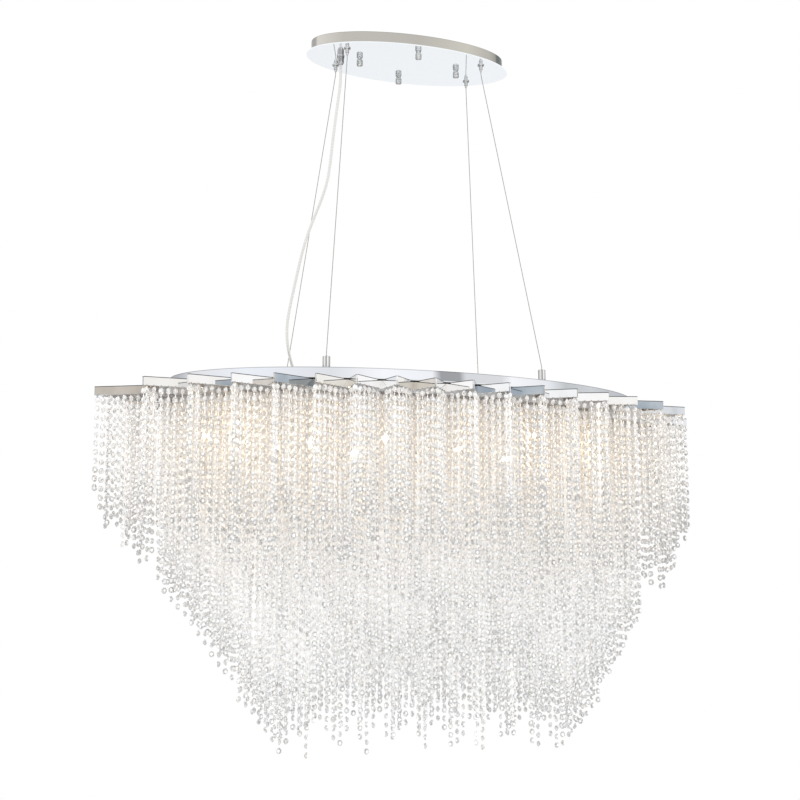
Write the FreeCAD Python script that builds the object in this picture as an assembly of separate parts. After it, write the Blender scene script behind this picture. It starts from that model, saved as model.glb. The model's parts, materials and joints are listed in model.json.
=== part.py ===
import FreeCAD, Part
import math
import os

Vector = FreeCAD.Vector

# Linear crystal chandelier, millimetres, +Z up.
# The origin is the middle of the ceiling mount, on the ceiling plane, so all of it lies below.

# Canopy at the ceiling
canopy_half_length = 210.6
canopy_half_depth = 95.9
canopy_plate_thickness = 3.0
rim_inset = 10.0
rim_height = 25.0
rim_wall = 1.5

# Cross-shaped ceiling bracket and its studs
bracket_thickness = 2.0
bracket_width = 28.0
stud_from_canopy_end = 108.6
stud_from_canopy_side = 29.9
stud_radius = 2.5
bracket_overhang = 10.0
box_screw_spacing = 88.9
box_screw_hole_radius = 2.6
wire_hole_radius = 9.0
ground_screw_x = 24.0
ground_screw_radius = 4.0
ground_screw_height = 2.6
ground_screw_round = 1.0

# Knurled cap nuts
cap_nut_radius = 6.0
cap_nut_neck_radius = 4.7
cap_nut_height = 14.0
cap_nut_neck_height = 2.2
cap_nut_chamfer = 1.0
nut_bore_depth = 10.0
stud_end_room = 1.0
stud_running_clearance = 0.06
turning_gap = 0.2
hole_clearance = 0.3

# Cable grips with a sprung release collar at the tip
grip_from_canopy_end = 70.6
grip_from_canopy_side = 51.9
grip_flange_radius = 6.5
grip_flange_height = 1.6
grip_barrel_radius = 3.6
grip_barrel_height = 8.0
grip_stem_radius = 5.0
grip_stem_height = 9.0
collar_radius = 2.4
collar_tip_radius = 1.7
collar_showing = 5.0
collar_hidden = 4.0
collar_travel = 2.5
collar_taper = 3.0
collar_clearance = 0.06
grip_nut_across_flats = 14.0
grip_nut_height = 4.0
hex_nut_clearance = 0.1

# Suspension cables
cable_radius = 0.75
cable_clearance = 0.25
cable_tail = 8.0
cable_knee_radius = 25.0
cable_straight_below_grip = 6.0
canopy_to_ring_drop = 671.0
post_x = 209.0
post_from_ring = 18.0
post_radius = 6.9
post_groove_radius = 5.9
post_above_ring = 23.0
post_groove_height = 2.0
post_groove_above_ring = 4.5
cable_in_post = 12.0

# Power cord and its two strain reliefs
cord_radius = 3.0
cord_clearance = 0.2
gland_from_canopy_end = 68.6
gland_y = -2.0
gland_flange_radius = 7.5
gland_body_radius = 6.4
gland_tip_radius = 4.4
gland_flange_height = 2.5
gland_body_height = 11.0
gland_tip_height = 4.5
gland_stem_radius = 6.0
gland_stem_height = 8.0
gland_nut_across_flats = 16.0
gland_nut_height = 3.5
entry_x = -170.0
entry_from_ring = 29.0
entry_radius = 6.0
entry_height = 14.0
entry_taper_height = 5.0
entry_taper = 1.5
cord_straight_below_gland = 5.0
cord_straight_above_entry = 5.0
cord_end_above_frame = 1.0

# Chrome oval ring and the flat frame under it
ring_half_length = 464.0
ring_half_depth = 212.0
ring_height = 22.0
ring_wall = 3.0
frame_beyond_ring_end = 52.0
frame_beyond_ring_side = 20.0
frame_within_ring_end = 28.0
frame_within_ring_side = 46.0
frame_thickness = 2.0
cross_bar_width = 20.0
cross_bar_end_gap = 0.1

# Strips that carry the strands
strip_height = 16.0
strip_thickness = 1.5
bracket_spacing = 71.0
overhang_at_ends = 86.0
overhang_at_sides = 38.0
vertex_under_frame = 9.0
leg_gap = 2.5
row_spacing = 28.0
row_end_gap = 15.0
lamp_row = 3
last_mid_row = 5
end_sector_share = 0.70

# Bead strands: each is one slender column with the glass of its beads
bead_pitch = 16.2
strand_spacing = 12.7
strand_section = 4.2
row_stagger = 4.7
strand_end_margin = 6.0
shortest_drop = 230.0
longest_drop = 693.0
drop_per_share = 868.0
flank_lean = 0.22
flank_taper = 0.8
keel_taper = 1.3
wave_fade_in = 60.0
tip_wave_length = 57.0
tip_wave_slant = 0.31
tip_wave_beads = 4
tip_swell_length = 190.0
tip_swell_depth = 91.0
tip_swell_beads = 1
tip_jag_beads = 0.6
least_beads = 9

# Lamps under two rails
rail_width = 24.0
rail_thickness = 2.5
rail_seat_on_frame = 8.0
lamps_per_rail = 6
last_lamp_to_frame = 15.0
socket_radius = 11.0
socket_height = 42.0
socket_shoulder_height = 3.0
socket_shoulder_width = 2.0
socket_lip_chamfer = 1.0
lamp_base_radius = 6.2
lamp_base_length = 22.0
lamp_base_clearance = 0.06
lamp_glass_radius = 9.5
lamp_glass_length = 92.0
lamp_shoulder_radius = 7.6
lamp_shoulder_height = 4.0
lamp_dome_height = 8.0
lamp_dome_radius = 7.1
lamp_tip_height = 2.5
lamp_tip_radius = 3.3
lamp_seat_gap = 0.3

# Wiring
junction_radius = 42.0
junction_height = 14.0
junction_lid_thickness = 1.5
junction_wall = 1.5
wire_radius = 1.4
wire_lift = 0.1
connector_radius = 5.5
connector_tip_radius = 3.3
connector_length = 20.0
connector_from_stud = 42.0
connector_row_y = -8.0
connector_pitch = 18.0
lead_radius = 0.8
lead_spacing = 1.8
lead_rise = 7.0
lead_bend_run = 20.0
lead_straight_at_connector = 10.0
lead_drop_run = 12.0
lead_drop = 4.0

# Levels, worked out downwards from the ceiling
plate_top = -rim_height
plate_bottom = plate_top - canopy_plate_thickness
ring_top = plate_bottom - canopy_to_ring_drop
ring_bottom = ring_top - ring_height
frame_bottom = ring_bottom - frame_thickness
strip_bottom = frame_bottom - strip_height
rail_top = ring_bottom + rail_thickness
socket_bottom = ring_bottom - socket_height
grip_barrel_bottom = plate_bottom - grip_flange_height - grip_barrel_height
collar_bottom = grip_barrel_bottom - collar_showing
post_top = ring_top + post_above_ring
gland_bottom = plate_bottom - gland_flange_height - gland_body_height - gland_tip_height
entry_top = ring_bottom + entry_height

# Places in plan, worked out from the ovals
stud_x = canopy_half_length - stud_from_canopy_end
stud_y = canopy_half_depth - stud_from_canopy_side
grip_x = canopy_half_length - grip_from_canopy_end
grip_y = canopy_half_depth - grip_from_canopy_side
gland_x = gland_from_canopy_end - canopy_half_length
frame_outer_half_length = ring_half_length + frame_beyond_ring_end
frame_outer_half_depth = ring_half_depth + frame_beyond_ring_side
frame_inner_half_length = ring_half_length - frame_within_ring_end
frame_inner_half_depth = ring_half_depth - frame_within_ring_side
outer_half_length = frame_outer_half_length + overhang_at_ends
outer_half_depth = frame_outer_half_depth + overhang_at_sides
vertex_half_length = frame_outer_half_length - vertex_under_frame
vertex_half_depth = frame_outer_half_depth - vertex_under_frame
rail_y = lamp_row * row_spacing

# Route of the power cord, chosen by hand; its first and last points follow the two strain reliefs
cord_route_between = [
    (-142.0, -1.0, -88.0),
    (-146.0, 4.0, -126.0),
    (-149.0, 12.0, -164.0),
    (-151.0, 23.0, -203.0),
    (-152.0, 36.0, -243.0),
    (-155.0, 46.0, -276.0),
    (-163.0, 57.0, -308.0),
    (-174.0, 70.0, -341.0),
    (-185.0, 83.0, -376.0),
    (-193.0, 94.0, -411.0),
    (-199.0, 104.0, -447.0),
    (-205.0, 113.0, -484.0),
    (-211.0, 121.0, -521.0),
    (-215.0, 127.0, -557.0),
    (-212.0, 132.0, -592.0),
    (-203.0, 139.0, -624.0),
    (-190.0, 149.0, -653.0),
    (-176.0, 160.0, -678.0),
]

solids_by_node = {}


def depth_at(x, half_length, half_depth):
    """Half the depth of an ellipse at a distance along its length."""
    return half_depth * math.sqrt(1 - (x / half_length) ** 2)


# The posts and the cord's strain relief stand on the frame, inside the ring
post_y = depth_at(post_x, ring_half_length - ring_wall, ring_half_depth - ring_wall) - post_from_ring
entry_y = depth_at(entry_x, ring_half_length - ring_wall, ring_half_depth - ring_wall) - entry_from_ring

# The rails end on the frame; the lamps fill its opening, with a cross bar midway between each two
rail_half_length = depth_at(rail_y, frame_inner_half_depth, frame_inner_half_length) + rail_seat_on_frame
last_lamp_reach = rail_y + last_lamp_to_frame
last_lamp_x = depth_at(last_lamp_reach, frame_inner_half_depth, frame_inner_half_length)
lamp_spacing = 2 * last_lamp_x / (lamps_per_rail - 1)
cross_bars_each_side = lamps_per_rail // 2 - 1

# The wire connectors lie past the stud on the cord's side
connector_x = connector_from_stud - stud_x


def save(node, *solids):
    """Keep solids under a node's name, for export at the end."""
    solids_by_node.setdefault(node, []).extend(solids)


def cylinder(x, y, top, height, radius):
    return Part.makeCylinder(radius, height, Vector(x, y, top - height))


def box(x_low, y_low, z_low, x_high, y_high, z_high):
    return Part.makeBox(x_high - x_low, y_high - y_low, z_high - z_low, Vector(x_low, y_low, z_low))


def oval(half_length, half_depth, top, height):
    """A solid elliptical slab."""
    edge = Part.Ellipse(Vector(0, 0, top - height), half_length, half_depth).toShape()
    return Part.Face(Part.Wire([edge])).extrude(Vector(0, 0, height))


def turned(x, y, profile):
    """A solid of revolution about a vertical axis; the profile is a list of (radius, z) corners."""
    corners = [Vector(radius, 0, z) for radius, z in profile]
    wire = Part.makePolygon(corners + [corners[0]])
    solid = Part.Face(wire).revolve(Vector(0, 0, 0), Vector(0, 0, 1), 360)
    solid.translate(Vector(x, y, 0))
    return solid


def hexagon(x, y, top, height, across_flats, bore):
    """A hexagon nut with a plain bore."""
    corner_radius = across_flats / math.sqrt(3)
    corners = []
    for i in range(6):
        angle = i * math.pi / 3
        corner_x = x + corner_radius * math.cos(angle)
        corner_y = y + corner_radius * math.sin(angle)
        corners.append(Vector(corner_x, corner_y, top - height))
    body = Part.Face(Part.makePolygon(corners + [corners[0]])).extrude(Vector(0, 0, height))
    return body.cut(cylinder(x, y, top, height, bore))


def arc_radius(before, corner, after, share):
    """Radius of the tangent arc at a corner, and how far it reaches along each run."""
    run_in = (corner - before).Length
    run_out = (after - corner).Length
    reach = share * min(run_in, run_out)
    turn = (corner - before).getAngle(after - corner)
    return reach / math.tan(turn / 2), reach


def tube(points, radius, share=0.45, fixed_radius=None):
    """A round tube along straight runs that tangent arcs join; returns the solid and the arc radii."""
    route = [Vector(*point) for point in points]
    edges = []
    radii = []
    start = route[0]
    for before, corner, after in zip(route, route[1:], route[2:]):
        bend, reach = arc_radius(before, corner, after, share)
        if fixed_radius is not None:
            turn = (corner - before).getAngle(after - corner)
            reach = min(reach, fixed_radius * math.tan(turn / 2))
            bend = reach / math.tan(turn / 2)
        into = Vector(corner - before).normalize()
        out = Vector(after - corner).normalize()
        arc_start = corner - into * reach
        arc_end = corner + out * reach
        inward = Vector(out - into).normalize()
        turn = into.getAngle(out)
        centre = corner + inward * (bend / math.cos(turn / 2))
        middle = centre - inward * bend
        edges.append(Part.LineSegment(start, arc_start).toShape())
        edges.append(Part.Arc(arc_start, middle, arc_end).toShape())
        radii.append(bend)
        start = arc_end
    edges.append(Part.LineSegment(start, route[-1]).toShape())
    path = Part.Wire(edges)
    circle = Part.Circle(route[0], route[1] - route[0], radius)
    section = Part.Wire([circle.toShape()])
    return path.makePipeShell([section], True, False), radii, path.Length


def even_columns(half_length, spacing):
    """Corners evenly spaced along an ellipse's length, on both its sides, as angles of its parameter."""
    steps = round(2 * half_length / spacing)
    side = [math.acos(1 - 2 * k / steps) for k in range(steps)]
    return side + [math.pi + angle for angle in side]


# Ceiling bracket
def make_bracket():
    half_x = stud_x + bracket_overhang
    half_y = stud_y + bracket_overhang
    half_width = bracket_width / 2
    cross = box(-half_x, -half_width, -bracket_thickness, half_x, half_width, 0)
    cross = cross.fuse(box(-half_width, -half_y, -bracket_thickness, half_width, half_y, 0))
    cross = cross.removeSplitter()
    for side in (-1, 1):
        hole_x = side * box_screw_spacing / 2
        cross = cross.cut(cylinder(hole_x, 0, 0, bracket_thickness, box_screw_hole_radius))
    cross = cross.cut(cylinder(0, 0, 0, bracket_thickness, wire_hole_radius))
    save("ceiling_bracket", cross)
    head_bottom = -bracket_thickness - ground_screw_height
    head = turned(ground_screw_x, 0, [
        (0, -bracket_thickness),
        (ground_screw_radius, -bracket_thickness),
        (ground_screw_radius, head_bottom + ground_screw_round),
        (ground_screw_radius - ground_screw_round, head_bottom),
        (0, head_bottom),
    ])
    save("ground_screw", head)


def stud_places():
    return [(-stud_x, 0.0), (stud_x, 0.0), (0.0, -stud_y), (0.0, stud_y)]


# Canopy with studs and cap nuts
def make_canopy():
    rim_half_length = canopy_half_length - rim_inset
    rim_half_depth = canopy_half_depth - rim_inset
    rim = oval(rim_half_length, rim_half_depth, 0, rim_height)
    rim = rim.cut(oval(rim_half_length - rim_wall, rim_half_depth - rim_wall, 0, rim_height))
    save("canopy_rim", rim)
    plate = oval(canopy_half_length, canopy_half_depth, plate_top, canopy_plate_thickness)
    holes = [(x, y, stud_radius) for x, y in stud_places()]
    holes += [(x, y, grip_stem_radius) for x, y in grip_places()]
    holes.append((gland_x, gland_y, gland_stem_radius))
    for x, y, radius in holes:
        plate = plate.cut(cylinder(x, y, plate_top, canopy_plate_thickness, radius + hole_clearance))
    save("canopy_plate", plate)
    nut_top = plate_bottom - turning_gap
    nut_bottom = nut_top - cap_nut_height
    neck_bottom = nut_top - cap_nut_neck_height
    stud_length = -bracket_thickness - (nut_top - nut_bore_depth + stud_end_room)
    bore = stud_radius + stud_running_clearance
    for number, (x, y) in enumerate(stud_places(), 1):
        save("bracket_studs", cylinder(x, y, -bracket_thickness, stud_length, stud_radius))
        nut = turned(x, y, [
            (bore, nut_top),
            (cap_nut_neck_radius, nut_top),
            (cap_nut_neck_radius, neck_bottom),
            (cap_nut_radius, neck_bottom - cap_nut_chamfer),
            (cap_nut_radius, nut_bottom + cap_nut_chamfer),
            (cap_nut_radius - cap_nut_chamfer, nut_bottom),
            (0, nut_bottom),
            (0, nut_top - nut_bore_depth),
            (bore, nut_top - nut_bore_depth),
        ])
        save(f"cap_nut_{number}", nut)


def grip_places():
    return [(side_x * grip_x, side_y * grip_y) for side_x in (-1, 1) for side_y in (-1, 1)]


# Cable grips: fixed body, hexagon nut inside the canopy, release collar
def make_grips():
    bore = cable_radius + cable_clearance
    stem_top = plate_bottom + grip_stem_height
    flange_bottom = plate_bottom - grip_flange_height
    pocket_radius = collar_radius + collar_clearance
    pocket_top = grip_barrel_bottom + collar_hidden + collar_travel + turning_gap
    collar_top = grip_barrel_bottom + collar_hidden
    for number, (x, y) in enumerate(grip_places(), 1):
        body = turned(x, y, [
            (bore, stem_top),
            (grip_stem_radius, stem_top),
            (grip_stem_radius, plate_bottom),
            (grip_flange_radius, plate_bottom),
            (grip_flange_radius, flange_bottom),
            (grip_barrel_radius, flange_bottom),
            (grip_barrel_radius, grip_barrel_bottom),
            (pocket_radius, grip_barrel_bottom),
            (pocket_radius, pocket_top),
            (bore, pocket_top),
        ])
        save("cable_grips", body)
        nut_bore = grip_stem_radius + hex_nut_clearance
        nut_top = plate_top + grip_nut_height
        save("grip_nuts", hexagon(x, y, nut_top, grip_nut_height, grip_nut_across_flats, nut_bore))
        collar = turned(x, y, [
            (bore, collar_top),
            (collar_radius, collar_top),
            (collar_radius, collar_bottom + collar_taper),
            (collar_tip_radius, collar_bottom),
            (bore, collar_bottom),
        ])
        save(f"release_collar_{number}", collar)


# Cables and the posts that anchor them on the frame
def make_cables():
    bore = cable_radius + cable_clearance
    groove_top = ring_top + post_groove_above_ring
    for x, y in grip_places():
        post_side_x = math.copysign(post_x, x)
        post_side_y = math.copysign(post_y, y)
        route = [
            (x, y, plate_bottom + grip_stem_height + cable_tail),
            (x, y, collar_bottom - cable_straight_below_grip),
            (post_side_x, post_side_y, post_top + cable_straight_below_grip),
            (post_side_x, post_side_y, post_top - cable_in_post),
        ]
        cable = tube(route, cable_radius, fixed_radius=cable_knee_radius)[0]
        save("suspension_cables", cable)
        post = turned(post_side_x, post_side_y, [
            (bore, post_top),
            (post_radius, post_top),
            (post_radius, groove_top),
            (post_groove_radius, groove_top),
            (post_groove_radius, groove_top - post_groove_height),
            (post_radius, groove_top - post_groove_height),
            (post_radius, ring_bottom),
            (0, ring_bottom),
            (0, post_top - cable_in_post),
            (bore, post_top - cable_in_post),
        ])
        save("cable_posts", post)


# Power cord from the canopy gland to the frame
def make_cord():
    bore = cord_radius + cord_clearance
    stem_top = plate_bottom + gland_stem_height
    flange_bottom = plate_bottom - gland_flange_height
    body_bottom = flange_bottom - gland_body_height
    gland = turned(gland_x, gland_y, [
        (bore, stem_top),
        (gland_stem_radius, stem_top),
        (gland_stem_radius, plate_bottom),
        (gland_flange_radius, plate_bottom),
        (gland_flange_radius, flange_bottom),
        (gland_body_radius, flange_bottom),
        (gland_body_radius, body_bottom),
        (gland_tip_radius, gland_bottom),
        (bore, gland_bottom),
    ])
    save("cord_gland", gland)
    nut_bore = gland_stem_radius + hex_nut_clearance
    nut_top = plate_top + gland_nut_height
    nut = hexagon(gland_x, gland_y, nut_top, gland_nut_height, gland_nut_across_flats, nut_bore)
    save("gland_nut", nut)
    entry = turned(entry_x, entry_y, [
        (bore, entry_top),
        (entry_radius - entry_taper, entry_top),
        (entry_radius, entry_top - entry_taper_height),
        (entry_radius, ring_bottom),
        (bore, ring_bottom),
    ])
    save("frame_strain_relief", entry)
    start = (gland_x, gland_y, stem_top)
    end = (entry_x, entry_y, ring_bottom + cord_end_above_frame)
    below_gland = (gland_x, gland_y, gland_bottom - cord_straight_below_gland)
    above_entry = (entry_x, entry_y, entry_top + cord_straight_above_entry)
    route = [start, below_gland] + cord_route_between + [above_entry, end]
    cord, radii, length = tube(route, cord_radius)
    save("power_cord", cord)
    section = math.pi * cord_radius ** 2
    print("cord radii", [round(radius) for radius in radii])
    print("cord length", round(length, 1), "volume share", round(cord.Volume / (section * length), 4))


# Chrome ring and the flat frame below it
def make_ring():
    ring = oval(ring_half_length, ring_half_depth, ring_top, ring_height)
    ring = ring.cut(oval(ring_half_length - ring_wall, ring_half_depth - ring_wall, ring_top, ring_height))
    save("oval_ring", ring)
    opening = oval(frame_inner_half_length, frame_inner_half_depth, ring_bottom, frame_thickness)
    frame = oval(frame_outer_half_length, frame_outer_half_depth, ring_bottom, frame_thickness)
    frame = frame.cut(opening)
    frame = frame.cut(cylinder(entry_x, entry_y, ring_bottom, frame_thickness, cord_radius))
    save("oval_frame", frame)
    inside_half_length = frame_inner_half_length - cross_bar_end_gap
    inside_half_depth = frame_inner_half_depth - cross_bar_end_gap
    inside = oval(inside_half_length, inside_half_depth, ring_bottom, frame_thickness)
    half_width = cross_bar_width / 2
    reach = frame_inner_half_depth
    for i in range(-cross_bars_each_side, cross_bars_each_side + 1):
        x = i * lamp_spacing
        bar = box(x - half_width, -reach, frame_bottom, x + half_width, reach, ring_bottom)
        save("cross_bars", bar.common(inside))


def leg(inner, outer):
    """One upright strip from an inner vertex to just short of an outer one."""
    dx = outer[0] - inner[0]
    dy = outer[1] - inner[1]
    length = math.hypot(dx, dy) - leg_gap
    strip = Part.makeBox(length, strip_thickness, strip_height, Vector(0, -strip_thickness / 2, 0))
    strip.rotate(Vector(0, 0, 0), Vector(0, 0, 1), math.degrees(math.atan2(dy, dx)))
    strip.translate(Vector(inner[0], inner[1], strip_bottom))
    return strip


def flank_drop(x, y):
    """A strand's tip below the ring's top: shortest on the outline, more towards the middle and +X."""
    share_of_length = x / outer_half_length
    share_of_outline = math.hypot(share_of_length, y / outer_half_depth)
    return shortest_drop + drop_per_share * (1 + flank_lean * share_of_length) * (1 - share_of_outline)


def strand(x, y, drop, wave_beads):
    """One strand, hanging from a strip down to a drop below the ring's top, less the beads of its wave."""
    beads = round((drop - ring_top + strip_bottom) / bead_pitch - wave_beads)
    beads = max(beads, least_beads)
    half = strand_section / 2
    low = strip_bottom - beads * bead_pitch
    return box(x - half, y - half, low, x + half, y + half, strip_bottom)


def sector_name(x, y):
    """Which of six sectors of the outer zigzag a place is in."""
    end_limit = end_sector_share * outer_half_length
    if x < -end_limit:
        return "left_end"
    if x > end_limit:
        return "right_end"
    side = "near" if y < 0 else "far"
    half = "left" if x < 0 else "right"
    return f"{side}_{half}"


# Outer zigzag of V brackets, with the shortest strands
def make_outer_zigzag():
    corners = even_columns(outer_half_length, bracket_spacing)
    bracket_count = len(corners)
    for k in range(bracket_count):
        first = corners[k]
        second = corners[k + 1] if k + 1 < bracket_count else 2 * math.pi
        middle = (first + second) / 2
        inner = (vertex_half_length * math.cos(middle), vertex_half_depth * math.sin(middle))
        outers = [(outer_half_length * math.cos(angle), outer_half_depth * math.sin(angle))
                  for angle in (first, second)]
        bracket = leg(inner, outers[0]).fuse(leg(inner, outers[1])).removeSplitter()
        save("v_brackets_near" if inner[1] < 0 else "v_brackets_far", bracket)
        node = "outer_strands_" + sector_name(*inner)
        for side, outer in enumerate(outers):
            length = math.hypot(outer[0] - inner[0], outer[1] - inner[1])
            free = length - leg_gap - 2 * strand_end_margin
            count = int(free / strand_spacing) + 1
            for i in range(count):
                along = (length - leg_gap - strand_end_margin - i * strand_spacing) / length
                x = inner[0] + (outer[0] - inner[0]) * along
                y = inner[1] + (outer[1] - inner[1]) * along
                save(node, strand(x, y, flank_drop(x, y), (i * 2 + k + side) % 3 - 1))


def row_node(place, row_side):
    """The strands of a row go with those of its neighbours, counted out from the middle row."""
    if place == 0:
        return "row_strands_middle"
    if place < lamp_row:
        return f"row_strands_{row_side}_inner"
    return f"row_strands_{row_side}_" + ("mid" if place <= last_mid_row else "outer")


def wave(place):
    """1 at each whole number, 0 midway between two, straight between."""
    return abs(place % 1 * 2 - 1)


def row_strand(x, y, jag):
    """A strand of a straight row: the flanks are even, and the keel in the middle ends in icicles."""
    drop = flank_drop(x, y) - flank_taper * abs(y)
    keel_drop = longest_drop - keel_taper * abs(y)
    wave_share = min(1, max(0, (drop - keel_drop) / wave_fade_in))
    beads = tip_wave_beads * wave((x - tip_wave_slant * y) / tip_wave_length)
    beads += tip_swell_beads * wave(x / tip_swell_length + y / tip_swell_depth)
    beads += tip_jag_beads * jag
    return strand(x, y, min(drop, keel_drop), wave_share * beads)


# Straight inner rows of strands
def make_inner_rows():
    reach_length = vertex_half_length - row_end_gap
    reach_depth = vertex_half_depth - row_end_gap
    half_thickness = strip_thickness / 2
    row_number = 0
    for place in range(int(reach_depth / row_spacing) + 1):
        if place == lamp_row:
            continue
        for side in ((-1, 1) if place else (1,)):
            y = side * place * row_spacing
            half = depth_at(y, reach_depth, reach_length)
            bar = box(-half, y - half_thickness, strip_bottom, half, y + half_thickness, frame_bottom)
            row_side = "near" if y < 0 else "far"
            save(f"strand_bars_{row_side}", bar)
            node = row_node(place, row_side)
            count = int((half - strand_end_margin) / strand_spacing)
            shift = (row_number * row_stagger) % strand_spacing - strand_spacing / 2
            for i in range(-count, count + 1):
                x = i * strand_spacing + shift
                if abs(x) > half - strand_end_margin:
                    continue
                save(node, row_strand(x, y, (i * 2 + row_number) % 3 - 1))
            row_number += 1


# Lamp rails, sockets and tubular lamps
def make_lamps():
    number = 0
    for side in (-1, 1):
        y = side * rail_y
        save("lamp_rails", box(-rail_half_length, y - rail_width / 2, ring_bottom, rail_half_length,
                               y + rail_width / 2, rail_top))
        for i in range(lamps_per_rail):
            x = (i - (lamps_per_rail - 1) / 2) * lamp_spacing
            number += 1
            bore = lamp_base_radius + lamp_base_clearance
            pocket_top = socket_bottom + lamp_base_length + lamp_seat_gap
            socket = turned(x, y, [
                (0, ring_bottom),
                (socket_radius - socket_shoulder_width, ring_bottom),
                (socket_radius, ring_bottom - socket_shoulder_height),
                (socket_radius, socket_bottom + socket_lip_chamfer),
                (socket_radius - socket_lip_chamfer, socket_bottom),
                (bore, socket_bottom),
                (bore, pocket_top),
                (0, pocket_top),
            ])
            save("lamp_sockets", socket)
            glass_top = socket_bottom - lamp_seat_gap
            glass_bottom = glass_top - lamp_glass_length
            lamp = turned(x, y, [
                (0, socket_bottom + lamp_base_length),
                (lamp_base_radius, socket_bottom + lamp_base_length),
                (lamp_base_radius, glass_top),
                (lamp_shoulder_radius, glass_top),
                (lamp_glass_radius, glass_top - lamp_shoulder_height),
                (lamp_glass_radius, glass_bottom + lamp_dome_height),
                (lamp_dome_radius, glass_bottom + lamp_tip_height),
                (lamp_tip_radius, glass_bottom),
                (0, glass_bottom),
            ])
            save(f"lamp_{number:02d}", lamp)


# Junction box on the frame, wires along the rails, leads and connectors inside the canopy
def make_wiring():
    top = ring_bottom + junction_height
    cavity_radius = junction_radius - junction_wall
    base = cylinder(0, 0, top, junction_height, junction_radius)
    base = base.cut(cylinder(0, 0, top, junction_height - junction_wall, cavity_radius))
    save("junction_box", base)
    lid_top = top + junction_lid_thickness
    save("junction_lid", cylinder(0, 0, lid_top, junction_lid_thickness, junction_radius))
    wire_z = rail_top + wire_radius + wire_lift
    outer_lamp_x = (lamps_per_rail - 1) / 2 * lamp_spacing
    along_x = Vector(1, 0, 0)
    for side in (-1, 1):
        wire_start = Vector(-outer_lamp_x, side * rail_y, wire_z)
        save("lamp_wires", Part.makeCylinder(wire_radius, 2 * outer_lamp_x, wire_start, along_x))
        link_start = Vector(0, side * (junction_radius + wire_lift), wire_z)
        link_length = rail_y - junction_radius - wire_radius - 2 * wire_lift
        save("lamp_wires", Part.makeCylinder(wire_radius, link_length, link_start, Vector(0, side, 0)))
    stem_top = plate_bottom + gland_stem_height
    lead_z = stem_top + lead_rise
    z = plate_top + connector_radius + wire_lift
    for i in (-1, 0, 1):
        y = connector_row_y + i * connector_pitch
        mouth = Vector(connector_x, y, z)
        body = Part.makeCone(connector_radius, connector_tip_radius, connector_length, mouth, along_x)
        save("wire_connectors", body)
        lead_y = gland_y + i * lead_spacing
        straight_x = connector_x - lead_straight_at_connector
        lead = tube([
            (gland_x, lead_y, stem_top + wire_lift),
            (gland_x, lead_y, lead_z + wire_lift),
            (gland_x + lead_bend_run, lead_y, lead_z),
            (straight_x - lead_drop_run, y, z + lead_drop),
            (straight_x, y, z),
            (connector_x - wire_lift, y, z),
        ], lead_radius)[0]
        save("canopy_leads", lead)


def export():
    os.makedirs("parts", exist_ok=True)
    for node, solids in solids_by_node.items():
        shape = solids[0] if len(solids) == 1 else Part.makeCompound(solids)
        shape.exportStep(f"parts/{node}.step")
    print(len(solids_by_node), "nodes", sum(len(solids) for solids in solids_by_node.values()), "solids")


make_bracket()
make_canopy()
make_grips()
make_cables()
make_cord()
make_ring()
make_outer_zigzag()
make_inner_rows()
make_lamps()
make_wiring()
export()
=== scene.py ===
import json
import math

import bmesh
import bpy
import numpy as np
from mathutils import Matrix, Vector

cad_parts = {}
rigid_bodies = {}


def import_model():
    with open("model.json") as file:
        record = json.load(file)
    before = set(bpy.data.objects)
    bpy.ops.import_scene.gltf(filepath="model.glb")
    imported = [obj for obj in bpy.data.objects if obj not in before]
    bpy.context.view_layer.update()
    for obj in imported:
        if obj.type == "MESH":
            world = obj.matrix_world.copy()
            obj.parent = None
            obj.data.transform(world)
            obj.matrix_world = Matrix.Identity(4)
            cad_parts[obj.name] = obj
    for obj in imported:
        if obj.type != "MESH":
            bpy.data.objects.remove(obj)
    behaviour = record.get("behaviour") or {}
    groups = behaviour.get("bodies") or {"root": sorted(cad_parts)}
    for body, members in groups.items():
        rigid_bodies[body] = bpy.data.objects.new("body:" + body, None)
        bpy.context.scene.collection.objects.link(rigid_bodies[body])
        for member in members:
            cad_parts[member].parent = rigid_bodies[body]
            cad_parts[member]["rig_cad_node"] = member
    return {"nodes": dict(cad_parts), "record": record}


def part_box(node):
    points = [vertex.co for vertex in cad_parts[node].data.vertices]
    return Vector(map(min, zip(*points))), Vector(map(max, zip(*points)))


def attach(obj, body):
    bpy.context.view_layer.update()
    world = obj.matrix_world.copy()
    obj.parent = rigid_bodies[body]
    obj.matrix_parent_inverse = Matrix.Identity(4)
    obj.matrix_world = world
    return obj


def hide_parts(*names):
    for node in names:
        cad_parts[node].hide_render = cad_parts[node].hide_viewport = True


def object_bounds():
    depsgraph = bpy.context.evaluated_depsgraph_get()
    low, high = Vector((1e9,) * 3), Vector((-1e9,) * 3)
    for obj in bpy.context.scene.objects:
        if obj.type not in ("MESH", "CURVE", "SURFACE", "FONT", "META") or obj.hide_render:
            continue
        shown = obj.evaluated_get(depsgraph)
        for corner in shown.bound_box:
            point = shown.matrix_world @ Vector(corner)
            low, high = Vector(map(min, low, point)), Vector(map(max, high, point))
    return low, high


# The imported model, in metres: origin at the ceiling mount, +Z up, all of the chandelier below it
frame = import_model()
cad_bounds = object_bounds()

# Camera, at the photograph's angle
camera_place = (-0.864, -2.6945, -1.2214)
camera_pitch = 0.1768
camera_yaw = 0.3044
camera_lens = 66.64
camera_sensor = 36.0

# Power cord
cord_radius = 0.003
straight_at_reliefs = 0.005
cord_end_above_frame = 0.001

# Crystal beads: their size, and how unevenly they hang
bead_pitch = 0.0162
bead_radius = 0.0050
bead_half_height = 0.0060
bead_half_thickness = 0.0034
bead_table_share = 0.50
bead_tilt = math.radians(7)
bead_twist = math.radians(35)
phase_room = (-0.12, 0.12)
pitch_room = (0.98, 1.01)

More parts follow.
